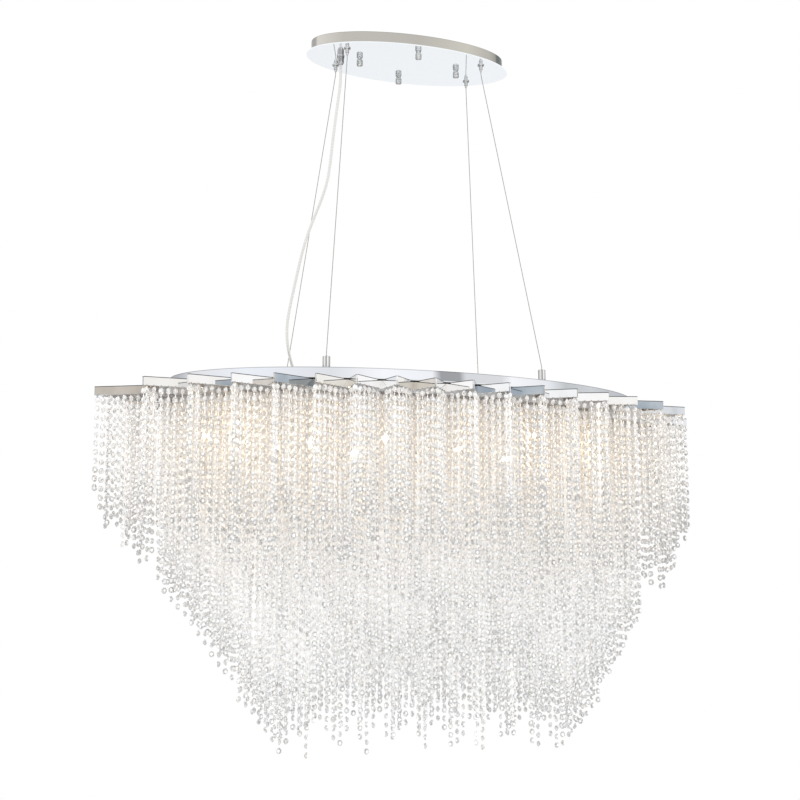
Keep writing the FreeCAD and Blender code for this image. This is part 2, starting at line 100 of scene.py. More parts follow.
# Links between the beads, and the hook at the top of each strand
link_radius = 0.0008
link_half_height = 0.0036
hook_radius = 0.0019
hook_half_height = 0.0036

# Painted light and shade of the facets, from 0 for dark to 1 for a painted spark
crown_corners = 4
crown_tones = (0.32, 0.64)
table_tones = (0.62, 0.82)
dark_table_share = 0.10
dark_table_tones = (0.20, 0.60)
lightest_tone = 0.97
grain_scale = 560.0
grain_depth = 1.3
strand_drift = 0.05
# A few strands carry a painted highlight along their length
painted_highlight_share = 0.02
painted_highlight_lift = 0.4
tip_beads = 8
tip_tone = 0.34
# Painted shade: on the top beads under the strips, on the outer strands, towards the right and at the ends
top_beads = 2
painted_top_shade = 0.14
outer_shade = 0.07
right_shade = 0.05
end_shade = 0.10
end_share = 0.82

# Painted light in the crystal: a glow everywhere, a warm glow round the lamps, and painted sparks
painted_crystal_glow = 0.224
glow_reach = 0.16
spark_radius = 0.0056
spark_rise = 0.025
spark_slope = 0.14
sparkling_lamps = 9

# Zigzag of mirror strips: plan ovals of its corners
corner_half = (0.602, 0.270)
vertex_half = (0.507, 0.223)
steps_each_side = 17
strip_thickness = 0.0015
strip_height = 0.016
leg_gap = 0.0025
# Width of the painted dark lines along the edges of the strips, the ring and the rim
edge_band = 0.0014
# Painted reflections on the sides of the strips
painted_leg_reflections = (0.50, 0.32, 0.42, 0.55, 0.62, 0.62, 0.66, 0.70, 0.80, 0.88)

# The way that the front of the chandelier faces, in plan: the painted sparks and the painted reflections on
# the fittings are laid out from it
front_azimuth = math.radians(-108)

# Ring, canopy plate and rim
oval_segments = 192
edge_round = 0.0006
ring_wall = 0.003
rim_wall = 0.0015

# Turned fittings: corners of half their section, as (radius, height above the lowest point)
turning_steps = 40
knurl_radius = 0.0060
knurl_depth = 0.0003
rib_radius = 0.0064
rib_depth = 0.0005
# Painted reflections on the fittings: width of the dark stripe, and how much the faces scatter at random
stripe_half_width = 0.1
tone_scatter = 0.05
cap_nut_profile = [
    (0, 0), (0.0050, 0), (0.0060, 0.0010), (0.0060, 0.0021), (0.0060, 0.0032), (0.0060, 0.0043),
    (0.0060, 0.0054), (0.0060, 0.0065), (0.0060, 0.0076), (0.0060, 0.0087), (0.0060, 0.0098),
    (0.0060, 0.0108), (0.0047, 0.0118), (0.0047, 0.0140), (0.00256, 0.0140), (0.00256, 0.0040),
    (0, 0.0040),
]
grip_profile = [
    (0.00246, 0), (0.0033, 0), (0.0036, 0.0003), (0.0036, 0.0024), (0.0031, 0.0029), (0.0031, 0.0037),
    (0.0036, 0.0042), (0.0036, 0.0080), (0.0062, 0.0080), (0.0065, 0.0083), (0.0065, 0.0093),
    (0.0062, 0.0096), (0.0050, 0.0096), (0.0050, 0.0186), (0.0010, 0.0186), (0.0010, 0.0067),
    (0.00246, 0.0067), (0.00246, 0),
]
collar_profile = [
    (0.0010, 0), (0.0015, 0), (0.0017, 0.0002), (0.0024, 0.0030), (0.0024, 0.0042), (0.0021, 0.0045),
    (0.0024, 0.0048), (0.0024, 0.0088), (0.0022, 0.0090), (0.0010, 0.0090), (0.0010, 0),
]
gland_profile = [
    (0.0032, 0), (0.0042, 0), (0.0044, 0.0002), (0.0064, 0.0045), (0.0064, 0.0155), (0.0072, 0.0155),
    (0.0075, 0.0158), (0.0075, 0.0177), (0.0072, 0.0180), (0.0060, 0.0180), (0.0060, 0.0260),
    (0.0032, 0.0260), (0.0032, 0),
]
relief_profile = [
    (0.0032, 0), (0.0060, 0), (0.0060, 0.0022), (0.0055, 0.0026), (0.0055, 0.0032), (0.0060, 0.0036),
    (0.0060, 0.0090), (0.0045, 0.0140), (0.0032, 0.0140), (0.0032, 0),
]
post_profile = [
    (0, 0), (0.0069, 0), (0.0069, 0.0245), (0.0059, 0.0245), (0.0059, 0.0265), (0.0069, 0.0265),
    (0.0069, 0.0444), (0.0063, 0.0450), (0.0010, 0.0450), (0.0010, 0.0330), (0, 0.0330),
]

# Tubular lamps, from the lowest point of the glass
glass_steps = 32
glass_middle = 0.046
glass_profile = [
    (0, 0), (0.0033, 0), (0.0071, 0.0025), (0.0088, 0.0050), (0.0095, 0.0080), (0.0095, 0.0880),
    (0.0090, 0.0905), (0.0076, 0.0920), (0.0066, 0.0910), (0.0083, 0.0890), (0.0087, 0.0870),
    (0.0087, 0.0085), (0.0081, 0.0060), (0.0065, 0.0038), (0.0030, 0.0010), (0, 0.0010),
]
base_steps = 24
base_profile = [(0, 0.0920), (0.0062, 0.0920), (0.0062, 0.0955)]
base_cap = [(0.0062, 0.1124), (0.0045, 0.1132), (0.0030, 0.1143), (0, 0.1143)]
thread_start = 0.0957
thread_step = 0.0015
thread_corners = 11
thread_crest = 0.0062
thread_root = 0.0057
filament_steps = 8
filament_half_length = 0.030
filament_radius = 0.0011
filament_ring = 0.0032
filament_count = 4

# Studio
floor_drop = 0.95
floor_radius = 9.0
floor_corners = 96
light_aim = (0, 0, -0.9)
light_places = {"key": (-2.2, -2.6, 0.6), "fill": (2.6, -1.6, -0.4)}
light_sizes = {"key": 1.2, "fill": 1.6}
light_powers = {"key": 12, "fill": 6}

# Start of every row of random draws, and how near two places count as one
seed = 7
same_place = 0.000001
merge_distance = 0.00001
same_row = 0.001


# Scene set-up
def clear_defaults():
    for name in ("Cube", "Light", "Camera"):
        found = bpy.data.objects.get(name)
        if found is not None and "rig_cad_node" not in found:
            bpy.data.objects.remove(found)


def make_camera():
    data = bpy.data.cameras.new("camera")
    data.lens = camera_lens
    data.sensor_width = camera_sensor
    data.clip_start = 0.05
    data.clip_end = 60.0
    camera = bpy.data.objects.new("camera", data)
    camera.location = camera_place
    camera.rotation_euler = (math.pi / 2 + camera_pitch, 0, -camera_yaw)
    bpy.context.scene.collection.objects.link(camera)
    bpy.context.scene.camera = camera


# Route of the power cord, the same points as in the construction, in metres
def cord_points():
    gland_low, gland_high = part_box("cord_gland")
    entry_low, entry_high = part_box("frame_strain_relief")
    gland_x, gland_y = (gland_low.x + gland_high.x) / 2, (gland_low.y + gland_high.y) / 2
    entry_x, entry_y = (entry_low.x + entry_high.x) / 2, (entry_low.y + entry_high.y) / 2
    between = [
        (-0.142, -0.001, -0.088),
        (-0.146, 0.004, -0.126),
        (-0.149, 0.012, -0.164),
        (-0.151, 0.023, -0.203),
        (-0.152, 0.036, -0.243),
        (-0.155, 0.046, -0.276),
        (-0.163, 0.057, -0.308),
        (-0.174, 0.070, -0.341),
        (-0.185, 0.083, -0.376),
        (-0.193, 0.094, -0.411),
        (-0.199, 0.104, -0.447),
        (-0.205, 0.113, -0.484),
        (-0.211, 0.121, -0.521),
        (-0.215, 0.127, -0.557),
        (-0.212, 0.132, -0.592),
        (-0.203, 0.139, -0.624),
        (-0.190, 0.149, -0.653),
        (-0.176, 0.160, -0.678),
    ]
    start = [(gland_x, gland_y, gland_high.z), (gland_x, gland_y, gland_low.z - straight_at_reliefs)]
    end = [(entry_x, entry_y, entry_high.z + straight_at_reliefs),
           (entry_x, entry_y, entry_low.z + cord_end_above_frame)]
    return start + between + end


def make_cord(finish):
    points = cord_points()
    curve = bpy.data.curves.new("power_cord_line", "CURVE")
    curve.dimensions = "3D"
    curve.bevel_depth = cord_radius
    curve.bevel_resolution = 6
    curve.use_fill_caps = True
    curve.resolution_u = 10
    spline = curve.splines.new("NURBS")
    spline.points.add(len(points) - 1)
    for place, point in zip(spline.points, points):
        place.co = (*point, 1.0)
    spline.order_u = 3
    spline.use_endpoint_u = True
    cord = bpy.data.objects.new("power_cord_run", curve)
    bpy.context.scene.collection.objects.link(cord)
    curve.materials.append(finish)
    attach(cord, "fixture")
    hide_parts("power_cord")


# Material nodes: sockets with arithmetic, and one method that makes any other node
class Socket:
    """An output of a node; arithmetic on it adds Math nodes."""

    def __init__(self, finish, output):
        self.finish = finish
        self.output = output

    def maths(self, operation, first, second=None):
        values = {0: first} if second is None else {0: first, 1: second}
        return self.finish.node("Math", {"operation": operation}, values)

    def __add__(self, other):
        return self.maths("ADD", self, other)

    __radd__ = __add__

    def __sub__(self, other):
        return self.maths("SUBTRACT", self, other)

    def __rsub__(self, other):
        return self.maths("SUBTRACT", other, self)

    def __mul__(self, other):
        return self.maths("MULTIPLY", self, other)

    __rmul__ = __mul__

    def __gt__(self, other):
        return self.maths("GREATER_THAN", self, other)

    def __lt__(self, other):
        return self.maths("LESS_THAN", self, other)


class Finish:
    """A material with one Principled surface."""

    def __init__(self, name, base_color=(0.8, 0.8, 0.8), **fixed):
        self.material = bpy.data.materials.new(name)
        self.material.use_nodes = True
        self.tree = self.material.node_tree
        self.surface = self.tree.nodes["Principled BSDF"]
        self.surface.inputs["Base Color"].default_value = (*base_color, 1.0)
        for key, value in fixed.items():
            self.surface.inputs[key.replace("_", " ").title().replace("Ior", "IOR")].default_value = value

    def node(self, kind, settings=None, values=None, output=0):
        made = self.tree.nodes.new("ShaderNode" + kind)
        for key, value in (settings or {}).items():
            if key == "stops":
                self.set_stops(made.color_ramp, value)
            else:
                setattr(made, key, value)
        for key, value in (values or {}).items():
            self.feed(made.inputs[key], value)
        return Socket(self, made.outputs[output])

    def set_stops(self, ramp, stops):
        while len(ramp.elements) < len(stops):
            ramp.elements.new(0.5)
        for element, (place, colour) in zip(ramp.elements, stops):
            element.position = place
            element.color = (*colour, 1.0)

    def feed(self, socket, value):
        if isinstance(value, Socket):
            self.tree.links.new(value.output, socket)
        else:
            socket.default_value = value

    def set(self, name, value):
        self.feed(self.surface.inputs[name], value)

    def place(self):
        return self.node("TexCoord", output="Object")

    def attribute(self, name):
        return self.node("Attribute", {"attribute_name": name}, output="Fac")

    def noise(self, scale, detail=2.0, vector=None):
        values = {"Vector": vector or self.place(), "Scale": scale, "Detail": detail}
        return self.node("TexNoise", None, values)

    def streaks(self, scale):
        """Noise drawn out into level lines."""
        stretched = self.node("Mapping", None, {"Vector": self.place(), "Scale": (1.0, 1.0, 30.0)})
        return self.noise(scale, 3.0, stretched)

    def wave(self, direction, scale, distortion):
        settings = {"wave_type": "BANDS", "bands_direction": direction}
        values = {"Vector": self.place(), "Scale": scale, "Distortion": distortion}
        return self.node("TexWave", settings, values, output="Fac")

    def bump(self, height, strength, distance):
        values = {"Height": height, "Strength": strength, "Distance": distance}
        self.set("Normal", self.node("Bump", None, values))

    def multiplied(self, factor, first, second):
        """A colour times another, by a factor from 0 to 1."""
        settings = {"data_type": "RGBA", "blend_type": "MULTIPLY"}
        return self.node("Mix", settings, {0: factor, 6: first, 7: second}, output=2)

    def ramp(self, factor, stops):
        return self.node("ValToRGB", {"stops": stops}, {"Fac": factor})


# Finishes
def crystal_finish():
    """Cut clear glass with painted light: each facet shows its own painted reflection, between dark and
    light, the glass has a faint painted glow all over, and a painted warm glow near the lamps.
    """
    made = Finish("crystal", (1.0, 1.0, 1.0), roughness=0.08, ior=1.5)
    tone = made.attribute("tone")
    glow = made.attribute("glow")
    grained = tone + (made.noise(grain_scale, 1.0) - 0.5) * grain_depth
    # Painted reflections in the facets: greys from dark to light
    greys = [
        (0.0, (0.30, 0.30, 0.30)),
        (0.3, (0.65, 0.65, 0.65)),
        (0.6, (0.865, 0.865, 0.865)),
        (1.0, (0.96, 0.96, 0.96)),
    ]
    tint = made.ramp(made.noise(90.0), [(0.35, (1.0, 0.975, 0.94)), (0.65, (0.975, 0.985, 1.0))])
    made.set("Base Color", made.multiplied(1.0, made.ramp(grained, greys), tint))
    # Painted glow all over the glass, weaker in the darker facets
    cool = made.ramp(grained, [(0.1, [0.4 * painted_crystal_glow] * 3), (0.45, [painted_crystal_glow] * 3)])
    # Painted warm glow near the lamps; the top of the ramp lights the painted sparks
    warm = made.ramp(tone, [
        (0.0, (0.08, 0.055, 0.032)),
        (0.6, (0.125, 0.092, 0.06)),
        (lightest_tone, (0.155, 0.12, 0.082)),
        (1.0, (1.5, 1.3, 1.0)),
    ])
    made.set("Emission Color", made.node("Mix", {"data_type": "RGBA"}, {0: glow, 6: cool, 7: warm}, output=2))
    made.surface.inputs["Emission Strength"].default_value = 1.0
    return made.material


def link_finish():
    """Thin wire: bright in the links, and painted shade on the hooks under the strips."""
    made = Finish("link_wire", metallic=1.0)
    greys = [(0.0, (0.06, 0.055, 0.05)), (1.0, (0.42, 0.42, 0.43))]
    made.set("Base Color", made.ramp(made.attribute("tone"), greys))
    made.set("Roughness", made.noise(900.0) * 0.2 + 0.15)
    return made.material


def mirror_finish(name, base_color, roughness, smear):
    """Polished metal with faint smears in its gloss."""
    made = Finish(name, base_color, metallic=1.0)
    made.set("Roughness", made.noise(14.0, 4.0) * smear + roughness)
    made.bump(made.noise(3.0, 1.0), 0.05, 0.002)
    return made.material


def strip_finish():
    """Mirror strips: each leg carries a painted reflection of another part of the room, and its top edge has
    a painted dark line.
    """
    made = Finish("strip_mirror", (0.88, 0.885, 0.89), metallic=1.0)
    shade = made.attribute("tone") + made.noise(26.0, 2.0) * 0.16 - 0.08
    made.set("Base Color", made.ramp(shade, [
        (0.0, (0.08, 0.08, 0.085)),
        (0.14, (0.15, 0.18, 0.22)),
        (0.30, (0.36, 0.42, 0.48)),
        (0.42, (0.70, 0.72, 0.75)),
        (0.60, (0.96, 0.96, 0.97)),
        (0.72, (0.86, 0.84, 0.80)),
        (0.82, (0.62, 0.58, 0.53)),
        (1.0, (0.33, 0.28, 0.23)),
    ]))
    made.set("Roughness", made.noise(14.0, 4.0) * 0.06 + 0.02)
    return made.material


def along(made, node):
    """How far a point lies along a node's length, from 0 to 1."""
    low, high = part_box(node)
    x = made.node("SeparateXYZ", None, {"Vector": made.place()}, output="X")
    return (x - low.x) * (1 / (high.x - low.x))


def painted_dark_edges(made, node):
    """1 close to the top and bottom edges of an upright band, where the painted dark lines go, else 0."""
    low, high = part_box(node)
    height = made.node("SeparateXYZ", None, {"Vector": made.place()}, output="Z")
    return (height > high.z - edge_band) + (height < low.z + edge_band / 2)


def band_finish(name, node, stops, edge, roughness, streaks):
    """A band with painted reflections of the room in soft upright patches, painted dark lines along its
    edges, and fine streaks along it.
    """
    made = Finish(name, metallic=1.0)
    # Painted reflections along the band
    patches = made.ramp(along(made, node) + made.noise(9.0, 1.0) * 0.03 - 0.015, stops)
    made.set("Base Color", made.multiplied(painted_dark_edges(made, node), patches, (edge, edge, edge, 1.0)))
    made.set("Roughness", made.streaks(40.0) * streaks + roughness)
    return made.material


def ring_finish():
    """Polished band with painted reflections: pale blue-grey, with a dark reflection at the middle and a grey
    one to its right.
    """
    return band_finish("ring_chrome", "oval_ring", [
        (0.0, (0.38, 0.39, 0.42)),
        (0.03, (0.76, 0.77, 0.81)),
        (0.12, (0.84, 0.87, 0.93)),
        (0.28, (0.74, 0.76, 0.80)),
        (0.38, (0.91, 0.93, 0.97)),
        (0.472, (0.86, 0.88, 0.93)),
        (0.492, (0.34, 0.35, 0.37)),
        (0.532, (0.35, 0.36, 0.38)),
        (0.545, (0.68, 0.70, 0.73)),
        (0.62, (0.70, 0.71, 0.74)),
        (0.645, (0.92, 0.93, 0.97)),
        (0.73, (0.80, 0.82, 0.86)),
        (0.77, (0.53, 0.56, 0.58)),
        (0.84, (0.62, 0.64, 0.67)),
        (1.0, (0.36, 0.38, 0.42)),
    ], 0.55, 0.02, 0.03)


def rim_finish():
    """Satin nickel, warm grey, with painted reflections: lightest near the left end, and dark close to the
    right end.
    """
    return band_finish("satin_nickel", "canopy_rim", [
        (0.0, (0.34, 0.34, 0.33)),
        (0.006, (0.38, 0.37, 0.35)),
        (0.012, (0.68, 0.66, 0.62)),
        (0.12, (0.53, 0.51, 0.47)),
        (0.50, (0.51, 0.49, 0.45)),
        (0.75, (0.60, 0.58, 0.52)),
        (0.89, (0.47, 0.46, 0.42)),
        (0.93, (0.34, 0.33, 0.30)),
        (0.94, (0.13, 0.14, 0.14)),
        (0.98, (0.12, 0.13, 0.13)),
        (0.99, (0.45, 0.46, 0.46)),
        (1.0, (0.40, 0.41, 0.41)),
    ], 0.78, 0.22, 0.2)


def fitting_finish():
    """Bright nickel fittings: each face carries its own painted reflection of the room."""
    made = Finish("fitting_nickel", metallic=1.0)
    greys = [
        (0.0, (0.07, 0.07, 0.07)),
        (0.35, (0.27, 0.27, 0.27)),
        (0.7, (0.66, 0.66, 0.65)),
        (1.0, (0.93, 0.93, 0.92)),
    ]
    made.set("Base Color", made.ramp(made.attribute("tone") + made.noise(300.0) * 0.2 - 0.1, greys))
    made.set("Roughness", made.noise(160.0) * 0.1 + 0.15)
    return made.material


def satin_finish(name, base_color, roughness, grain):
    """Plated metal with level lines in its gloss."""
    made = Finish(name, base_color, metallic=1.0)
    lines = made.streaks(grain)
    made.set("Roughness", lines * 0.25 + roughness)
    made.bump(lines, 0.08, 0.0004)
    return made.material


def cable_finish():
    """Stranded wire: fine slanting ridges, with painted shade in the grooves between them."""
    made = Finish("steel_cable", (0.46, 0.46, 0.47), metallic=1.0, roughness=0.35)
    ridges = made.wave("DIAGONAL", 260.0, 0.0)
    made.set("Base Color", made.ramp(ridges, [(0.2, (0.34, 0.33, 0.32)), (0.8, (0.50, 0.49, 0.48))]))
    made.bump(ridges, 0.4, 0.0003)
    return made.material


def cord_finish():
    """Clear jacket over braided silver conductors, with painted shade in the grooves of the braid."""
    made = Finish("clear_jacket", (0.8, 0.8, 0.8), roughness=0.12, metallic=0.55)
    made.surface.inputs["Coat Weight"].default_value = 1.0
    made.surface.inputs["Coat Roughness"].default_value = 0.05
    braid = made.wave("Z", 110.0, 1.5)
    made.set("Base Color", made.ramp(braid, [(0.1, (0.70, 0.69, 0.67)), (0.9, (0.88, 0.87, 0.85))]))
    made.bump(braid, 0.1, 0.0004)
    return made.material


def plastic_finish(name, base_color, roughness=0.45):
    """Plastic or paint with fine specks in its gloss."""
    made = Finish(name, base_color)
    speck = made.noise(240.0, 3.0)
    made.set("Roughness", speck * 0.15 + roughness)
    made.bump(speck, 0.1, 0.0002)
    return made.material


def lamp_glass_finish():
    """Clear glass with a faint warm glow."""
    made = Finish("lamp_glass", (1.0, 0.97, 0.92), roughness=0.03, ior=1.45)
    made.set("Transmission Weight", 0.85)
    warmths = [(0.0, (1.0, 0.74, 0.48)), (1.0, (1.0, 0.86, 0.66))]
    made.set("Emission Color", made.ramp(made.noise(60.0), warmths))
    made.surface.inputs["Emission Strength"].default_value = 0.35
    return made.material


def filament_finish():
    """Glowing filaments."""
    made = Finish("filament", (1.0, 0.85, 0.6))
    warmths = [(0.0, (1.0, 0.76, 0.46)), (1.0, (1.0, 0.90, 0.70))]
    made.set("Emission Color", made.ramp(made.noise(200.0), warmths))
    made.surface.inputs["Emission Strength"].default_value = 9.0
    return made.material


# Modelling helpers
def deselect():
    bpy.ops.object.select_all(action="DESELECT")


def pick(obj):
    """Makes an object the only one selected, and the active one."""
    deselect()
    obj.select_set(True)
    bpy.context.view_layer.objects.active = obj


def face_outwards():
    """Turns all faces of the mesh in edit mode outwards, and leaves edit mode."""
    bpy.ops.mesh.select_all(action="SELECT")
    bpy.ops.mesh.normals_make_consistent(inside=False)
    bpy.ops.object.mode_set(mode="OBJECT")


def finished(obj, name, body, slot, *materials):
    """Puts the object's place into its mesh, and names, colours and attaches it."""
    obj.data.transform(obj.matrix_world)
    obj.matrix_world = Matrix.Identity(4)
    obj.name = name
    obj.data.name = name
    obj.data.materials.clear()
    for material in materials:
        obj.data.materials.append(material)
    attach(obj, body)
    return obj


def apply_modifiers(obj):
    pick(obj)
    for modifier in list(obj.modifiers):
        bpy.ops.object.modifier_apply(modifier=modifier.name)


def smooth(obj, degrees=35):
    pick(obj)
    bpy.ops.object.shade_smooth_by_angle(angle=math.radians(degrees))


def even_sides(obj):
    """Shades large faces flat where a rounded edge runs into them."""
    weighted = obj.modifiers.new("even_sides", "WEIGHTED_NORMAL")
    weighted.keep_sharp = True
    apply_modifiers(obj)


def bevelled(obj, width, segments=2):
    bevel = obj.modifiers.new("round_edges", "BEVEL")
    bevel.width = width
    bevel.segments = segments
    bevel.limit_method = "ANGLE"
    bevel.angle_limit = math.radians(40)
    apply_modifiers(obj)


def oval_slab(node, fill):
    """An upright oval the size of a node: an open band, or a plate where its ends are filled."""
    low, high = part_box(node)
    deselect()
    bpy.ops.mesh.primitive_circle_add(vertices=oval_segments, radius=1, fill_type=fill,
                                      location=(0, 0, low.z))
    bpy.ops.object.mode_set(mode="EDIT")
    bpy.ops.mesh.select_all(action="SELECT")
    bpy.ops.transform.resize(value=(high.x, high.y, 1))
    bpy.ops.mesh.extrude_region_move(TRANSFORM_OT_translate={"value": (0, 0, high.z - low.z)})
    face_outwards()
    return bpy.context.object


def oval_band(node, wall):
    """An upright band round an oval, the size of a node, with rounded edges."""
    band = oval_slab(node, "NOTHING")
    wall_modifier = band.modifiers.new("wall", "SOLIDIFY")
    wall_modifier.thickness = wall
    wall_modifier.offset = -1
    apply_modifiers(band)
    bevelled(band, edge_round)
    smooth(band)
    even_sides(band)
    return band


def oval_plate(node):
    """A flat oval plate, the size of a node, with rounded edges."""
    plate = oval_slab(node, "NGON")
    bevelled(plate, edge_round, 3)
    smooth(plate)
    even_sides(plate)
    return plate


def lathe(profile, steps):
    """A profile of (radius, z) corners spun about the Z axis."""
    mesh = bpy.data.meshes.new("profile")
    edges = [(i, i + 1) for i in range(len(profile) - 1)]
    mesh.from_pydata([(radius, 0, z) for radius, z in profile], edges, [])
    spun = bpy.data.objects.new("turned", mesh)
    bpy.context.scene.collection.objects.link(spun)
    pick(spun)
    bpy.ops.object.mode_set(mode="EDIT")
    bpy.ops.mesh.select_all(action="SELECT")
    bpy.ops.mesh.spin(steps=steps, angle=2 * math.pi, center=(0, 0, 0), axis=(0, 0, 1))
    bpy.ops.mesh.select_all(action="SELECT")
    bpy.ops.mesh.remove_doubles(threshold=merge_distance)
    face_outwards()
    return spun


# Small shapes that repeat: each is modelled once and copied into larger meshes
def mirrored_shape(obj):
    """Closes a half shape on the other side of its own Z plane."""
    mirror = obj.modifiers.new("other_side", "MIRROR")
    mirror.use_axis = (False, False, True)
    mirror.merge_threshold = merge_distance
    apply_modifiers(obj)
    bpy.ops.object.mode_set(mode="EDIT")
    face_outwards()


def as_shape(obj, turn=Matrix.Identity(4)):
    """The vertices, loops and polygon sizes of a modelled shape, which is then removed."""
    obj.data.transform(turn)
    mesh = obj.data
    vertices = np.array([vertex.co for vertex in mesh.vertices], float)
    loops = np.array([loop.vertex_index for loop in mesh.loops], int)
    sizes = np.array([polygon.loop_total for polygon in mesh.polygons], int)
    bpy.data.objects.remove(obj)
    return vertices, loops, sizes


def bead_shape():
    """A cut bead: an eight-sided lentil with a flat table on each face, hung on edge."""
    deselect()
    bpy.ops.mesh.primitive_circle_add(vertices=8, radius=bead_radius, fill_type="NGON")
    bpy.ops.object.mode_set(mode="EDIT")
    bpy.ops.mesh.select_all(action="SELECT")
    bpy.ops.mesh.inset(thickness=bead_radius * (1 - bead_table_share), depth=bead_half_thickness)
    bpy.ops.object.mode_set(mode="OBJECT")
    bead = bpy.context.object
    mirrored_shape(bead)
    upright = Matrix.Rotation(math.pi / 2, 4, "X") @ Matrix.Rotation(math.pi / 8, 4, "Z")
    return as_shape(bead, Matrix.Diagonal((1, 1, bead_half_height / bead_radius, 1)) @ upright)


def spindle_shape(radius, half_height):
    """A slim four-sided double cone, for links and hooks."""
    deselect()
    bpy.ops.mesh.primitive_cone_add(vertices=4, radius1=radius, radius2=0, depth=half_height,
                                    end_fill_type="NOTHING", location=(0, 0, half_height / 2))
    spindle = bpy.context.object
    spindle.data.transform(spindle.matrix_world)
    spindle.matrix_world = Matrix.Identity(4)
    mirrored_shape(spindle)
    return as_shape(spindle)


class Copies:
    """Copies of small shapes, gathered into one mesh."""

    def __init__(self):
        self.vertices = []
        self.loops = []
        self.sizes = []
        self.slots = []
        self.tones = []
        self.glows = []
        self.count = 0

    def add(self, shape, places, turns, slot, tones, glows):
        """Tones hold a value for each face of each copy, and glows one for each copy."""
        vertices, loops, sizes = shape
        copies = len(places)
        moved = np.einsum("kij,nj->kni", turns, vertices) + places[:, None, :]
        first = self.count + np.arange(copies) * len(vertices)
        self.vertices.append(moved.reshape(-1, 3))
        self.loops.append((loops[None, :] + first[:, None]).ravel())
        self.sizes.append(np.tile(sizes, copies))
        self.slots.append(np.full(copies * len(sizes), slot))
        self.tones.append(tones.ravel())
        self.glows.append(np.repeat(glows, len(sizes)))
        self.count += copies * len(vertices)

    def build(self, name):
        vertices = np.concatenate(self.vertices)
        loops = np.concatenate(self.loops)
        sizes = np.concatenate(self.sizes)
        mesh = bpy.data.meshes.new(name)
        mesh.vertices.add(len(vertices))
        mesh.vertices.foreach_set("co", vertices.astype(np.float32).ravel())
        mesh.loops.add(len(loops))
        mesh.loops.foreach_set("vertex_index", loops.astype(np.int32))
        mesh.polygons.add(len(sizes))
        starts = np.concatenate([[0], np.cumsum(sizes)[:-1]])
        mesh.polygons.foreach_set("loop_start", starts.astype(np.int32))
        mesh.polygons.foreach_set("material_index", np.concatenate(self.slots).astype(np.int32))
        mesh.update(calc_edges=True)
        mesh.shade_flat()
        for label, values in (("tone", self.tones), ("glow", self.glows)):
            attribute = mesh.attributes.new(label, "FLOAT", "FACE")
            attribute.data.foreach_set("value", np.concatenate(values).astype(np.float32))
        made = bpy.data.objects.new(name, mesh)
        bpy.context.scene.collection.objects.link(made)
        return made


def unturned(count):
    """Rotation matrices that leave everything as it is."""
    return np.tile(np.eye(3), (count, 1, 1))


def face_middles(shape):
    vertices, loops, sizes = shape
    starts = np.concatenate([[0], np.cumsum(sizes)[:-1]])
    return np.array([vertices[loops[start:start + size]].mean(0) for start, size in zip(starts, sizes)])


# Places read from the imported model
def lamp_nodes():
    """The numbered lamps, without their rails, sockets and wires."""
    return [name for name in sorted(frame["nodes"]) if name.startswith("lamp_") and name[5:].isdigit()]


def lamp_centres():
    """The middle of each lamp's glass."""
    centres = []
    for name in lamp_nodes():
        low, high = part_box(name)
        centres.append(((low.x + high.x) / 2, (low.y + high.y) / 2, low.z + glass_middle))
    return np.array(centres)


def solids_of(node):
    """The place, top and bottom of each solid in a node: rows of x, y, top, bottom."""
    columns = bmesh.new()
    columns.from_mesh(frame["nodes"][node].data)
    bmesh.ops.remove_doubles(columns, verts=columns.verts, dist=same_place)
    rows = []
    left = set(columns.verts)
    while left:
        island = [left.pop()]
        for vertex in island:
            for edge in vertex.link_edges:
                other = edge.other_vert(vertex)
                if other in left:
                    left.remove(other)
                    island.append(other)
        points = np.array([vertex.co for vertex in island])
        low, high = points.min(0), points.max(0)
        rows.append(((low[0] + high[0]) / 2, (low[1] + high[1]) / 2, high[2], low[2]))
    columns.free()
    return np.array(sorted(rows))


# Bead strands
def turns_about(spins, tilts):
    """Rotation matrices: a tilt about X, then a spin about Z."""
    cos_spin, sin_spin = np.cos(spins), np.sin(spins)
    cos_tilt, sin_tilt = np.cos(tilts), np.sin(tilts)
    turns = np.zeros((len(spins), 3, 3))
    turns[:, 0, 0] = cos_spin
    turns[:, 0, 1] = -sin_spin * cos_tilt
    turns[:, 0, 2] = sin_spin * sin_tilt
    turns[:, 1, 0] = sin_spin
    turns[:, 1, 1] = cos_spin * cos_tilt
    turns[:, 1, 2] = -cos_spin * sin_tilt
    turns[:, 2, 1] = sin_tilt
    turns[:, 2, 2] = cos_tilt
    return turns


def painted_facet_reflections(chance, copies, sizes):
    """Painted reflections: crown facets catch mixed greys; the flat tables are clear, and a few show the dark
    behind them.
    """
    tones = chance.uniform(*crown_tones, (copies, len(sizes)))
    tables = sizes > crown_corners
    clear = chance.uniform(*table_tones, (copies, tables.sum()))
    dark = chance.uniform(*dark_table_tones, clear.shape)
    tones[:, tables] = np.where(chance.random(clear.shape) < dark_table_share, dark, clear)
    return tones


def sparkling(places, lamps):
    """Whether a bead gets a painted spark: it lies where the bright middle of a lamp shines through, to the
    front or to the back.
    """
    chance = np.random.default_rng(seed)
    spots = lamps[chance.permutation(len(lamps))[:sparkling_lamps]]
    spots[:, 2] += chance.uniform(-spark_rise, spark_rise, sparkling_lamps)
    ahead = Vector((math.cos(front_azimuth), math.sin(front_azimuth), -spark_slope)).normalized()
    away = places[:, None, :] - spots[None, :, :]
    across = away - (away @ np.array(ahead))[:, :, None] * np.array(ahead)
    return (np.linalg.norm(across, axis=2) < spark_radius).any(1)


